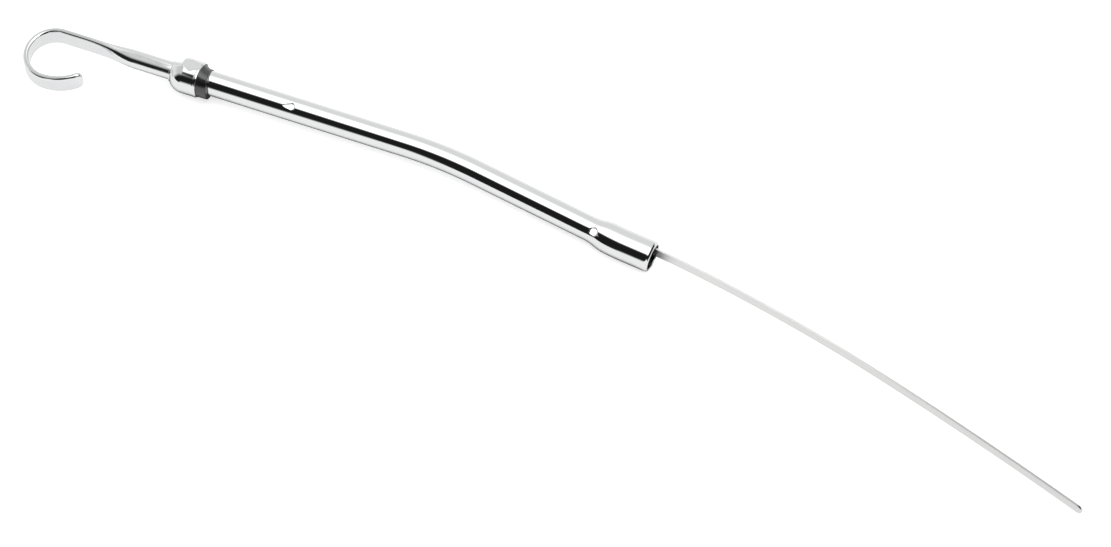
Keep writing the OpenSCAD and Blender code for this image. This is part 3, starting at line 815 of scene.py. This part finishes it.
# %% Hang the softbox
BOX_HEIGHT = 0.2
BOX_LEFT, BOX_RIGHT, BOX_NEAR, BOX_FAR = -0.4, 0.4, -0.6, 1.0    # m, the cloth's rim
DARK = 0.012                                   # what an unlit cloth or wall sends back
overhead = LAY.to_3x3() @ UP
studio = Matrix((right, overhead.cross(right), overhead)).transposed().to_4x4()
box_cloth, tree = blank_material("softbox_cloth_white")
spot = add(tree, "ShaderNodeSeparateXYZ", Vector=add(tree, "ShaderNodeTexCoord").outputs["Object"])
x, y = spot.outputs["X"], spot.outputs["Y"]

# The near edge, at a slant.
part_x = add(tree, "ShaderNodeMath", {"operation": "MULTIPLY"}, n0=x, n1=0.6)
slant = add(tree, "ShaderNodeMath", {"operation": "MULTIPLY_ADD"}, n0=y, n1=0.8,
            n2=part_x.outputs[0])
near_edge = add(tree, "ShaderNodeMapRange", {"interpolation_type": "SMOOTHSTEP"},
                Value=slant.outputs[0], From_Min=-0.1, From_Max=-0.04)

# The left and right edges, which end both the cloth and the flag.
low_y = add(tree, "ShaderNodeMath", {"operation": "MINIMUM"}, n0=y, n1=0.18)
sideways = add(tree, "ShaderNodeMath", {"operation": "MULTIPLY_ADD"}, n0=low_y.outputs[0],
               n1=-0.34, n2=x)
left_edge = add(tree, "ShaderNodeMapRange", {"interpolation_type": "SMOOTHSTEP"},
                Value=sideways.outputs[0], From_Min=-0.23, From_Max=-0.2245)
far_right = add(tree, "ShaderNodeMath", {"operation": "MULTIPLY_ADD"}, n0=y, n1=-0.5, n2=x)
right_edge = add(tree, "ShaderNodeMapRange", {"interpolation_type": "SMOOTHSTEP"},
                 Value=far_right.outputs[0], From_Min=0.13, From_Max=0.1)
width = add(tree, "ShaderNodeMath", {"operation": "MULTIPLY"}, n0=left_edge.outputs[0],
            n1=right_edge.outputs[0])

# The mask: for reflections it keeps the flag, for all other light only the cloth.
rays = add(tree, "ShaderNodeLightPath")
flagged = add(tree, "ShaderNodeMath", {"operation": "MAXIMUM"}, n0=near_edge.outputs[0],
              n1=rays.outputs["Is Glossy Ray"])
mask = add(tree, "ShaderNodeMath", {"operation": "MULTIPLY"}, n0=width.outputs[0],
           n1=flagged.outputs[0])

# The cloth's own light: bright near the middle, less towards the back, dark on the flag.
across_x = add(tree, "ShaderNodeMath", {"operation": "MULTIPLY"}, n0=x, n1=0.49)
across = add(tree, "ShaderNodeMath", {"operation": "MULTIPLY_ADD"}, n0=y, n1=0.87,
             n2=across_x.outputs[0])
lamp = add(tree, "ShaderNodeMapRange", {"interpolation_type": "SMOOTHSTEP"},
           Value=across.outputs[0], From_Min=0.0, From_Max=0.2, To_Min=1.9, To_Max=0.76)
power = add(tree, "ShaderNodeMath", {"operation": "MULTIPLY_ADD"}, n0=lamp.outputs[0],
            n1=near_edge.outputs[0], n2=DARK)
shine = add(tree, "ShaderNodeEmission", Color=(1, 1, 1, 1), Strength=power.outputs[0])
gap = add(tree, "ShaderNodeBsdfTransparent")
cloth = add(tree, "ShaderNodeMixShader", Fac=mask.outputs[0], n1=gap.outputs[0], n2=shine.outputs[0])
add(tree, "ShaderNodeOutputMaterial", Surface=cloth.outputs[0])

box_mesh = bpy.data.meshes.new("softbox")
box_mesh.from_pydata([(BOX_LEFT, BOX_NEAR, BOX_HEIGHT), (BOX_RIGHT, BOX_NEAR, BOX_HEIGHT),
                      (BOX_RIGHT, BOX_FAR, BOX_HEIGHT), (BOX_LEFT, BOX_FAR, BOX_HEIGHT)],
                     [], [(0, 1, 2, 3)])
box_mesh.materials.append(box_cloth)
softbox = bpy.data.objects.new("softbox", box_mesh)
softbox.matrix_world = studio
softbox.visible_camera = False
bpy.context.scene.collection.objects.link(softbox)
print("softbox hangs", BOX_HEIGHT, "m over the table")

# %% [markdown]
# ## The room
# The rest of the room is the world: white where the camera meets it, and for reflections pale
# down low, grey above, and dark above the camera's side and to the right, where the studio
# isn't lit. That dark part is what draws the black stripe along every round piece. Light that
# falls on the matt paper and the rubber is the same from all sides.

# %% Light of the room
world = bpy.data.worlds.new("studio_room")
bpy.context.scene.world = world
world.use_nodes = True
tree = world.node_tree
tree.nodes.clear()
direction = add(tree, "ShaderNodeTexCoord").outputs["Generated"]
level = studio.to_3x3().inverted().to_euler()
turned = add(tree, "ShaderNodeMapping", {"vector_type": "POINT"}, Vector=direction, Rotation=level)
spot = add(tree, "ShaderNodeSeparateXYZ", Vector=turned.outputs[0])
x, y, z = spot.outputs["X"], spot.outputs["Y"], spot.outputs["Z"]

# Pale walls, a little brighter towards the camera, and a grey ceiling.
low_front = add(tree, "ShaderNodeMapRange", {"interpolation_type": "SMOOTHSTEP"},
                Value=y, From_Min=0.1, From_Max=-0.2, To_Min=0.8, To_Max=0.97)
upper = add(tree, "ShaderNodeMapRange", {"interpolation_type": "SMOOTHSTEP"},
            Value=z, From_Min=0.3, From_Max=0.7)
base = add(tree, "ShaderNodeMix", {"data_type": "FLOAT"}, n0=upper.outputs[0],
           n2=low_front.outputs[0], n3=0.62)

# The dark part on the camera's side: its lower border rises to the right and drops again.
slope = add(tree, "ShaderNodeMath", {"operation": "MULTIPLY_ADD"}, n0=x, n1=1.733, n2=1.177)
border = add(tree, "ShaderNodeClamp", Value=slope.outputs[0], Min=0.0, Max=0.45)
lower = add(tree, "ShaderNodeMapRange", {"interpolation_type": "SMOOTHSTEP"},
            Value=x, From_Min=0.1, From_Max=0.4, To_Min=0.0, To_Max=0.42)
edge = add(tree, "ShaderNodeMath", {"operation": "SUBTRACT"}, n0=border.outputs[0],
           n1=lower.outputs[0])
over = add(tree, "ShaderNodeMath", {"operation": "SUBTRACT"}, n0=z, n1=edge.outputs[0])
above = add(tree, "ShaderNodeMapRange", {"interpolation_type": "SMOOTHSTEP"},
            Value=over.outputs[0], From_Min=-0.12, From_Max=0.12)
beyond = add(tree, "ShaderNodeMath", {"operation": "MINIMUM"}, n0=x, n1=-0.5)
wider = add(tree, "ShaderNodeMath", {"operation": "MULTIPLY_ADD"}, n0=beyond.outputs[0],
            n1=0.4, n2=y)
in_front = add(tree, "ShaderNodeMapRange", {"interpolation_type": "SMOOTHSTEP"},
               Value=wider.outputs[0], From_Min=-0.36, From_Max=-0.72)
front_dark = add(tree, "ShaderNodeMath", {"operation": "MULTIPLY"}, n0=above.outputs[0],
                 n1=in_front.outputs[0])

# The dark part to the right.
to_right = add(tree, "ShaderNodeMapRange", {"interpolation_type": "SMOOTHSTEP"},
               Value=x, From_Min=0.25, From_Max=0.36)
raised = add(tree, "ShaderNodeMapRange", {"interpolation_type": "SMOOTHSTEP"},
             Value=z, From_Min=0.1, From_Max=0.25)
side_dark = add(tree, "ShaderNodeMath", {"operation": "MULTIPLY"}, n0=to_right.outputs[0],
                n1=raised.outputs[0])
dark = add(tree, "ShaderNodeMath", {"operation": "MAXIMUM"}, n0=front_dark.outputs[0],
           n1=side_dark.outputs[0])
room = add(tree, "ShaderNodeMix", {"data_type": "FLOAT"}, n0=dark.outputs[0],
           n2=base.outputs[0], n3=DARK).outputs[0]

# Who sees what: even light for matt faces, the room for reflections, white for the camera.
path = add(tree, "ShaderNodeLightPath")
even = add(tree, "ShaderNodeMix", {"data_type": "FLOAT"}, n0=path.outputs["Is Diffuse Ray"],
           n2=room, n3=0.95).outputs[0]
shown = add(tree, "ShaderNodeMix", {"data_type": "FLOAT"}, n0=path.outputs["Is Camera Ray"],
            n2=even, n3=1.0).outputs[0]
sky = add(tree, "ShaderNodeBackground", Color=(1, 1, 1, 1), Strength=shown)
add(tree, "ShaderNodeOutputWorld", Surface=sky.outputs[0])
print("room turned by", [round(math.degrees(a), 1) for a in level], "degrees")

# %% Colour management
bpy.context.scene.view_settings.view_transform = "Standard"
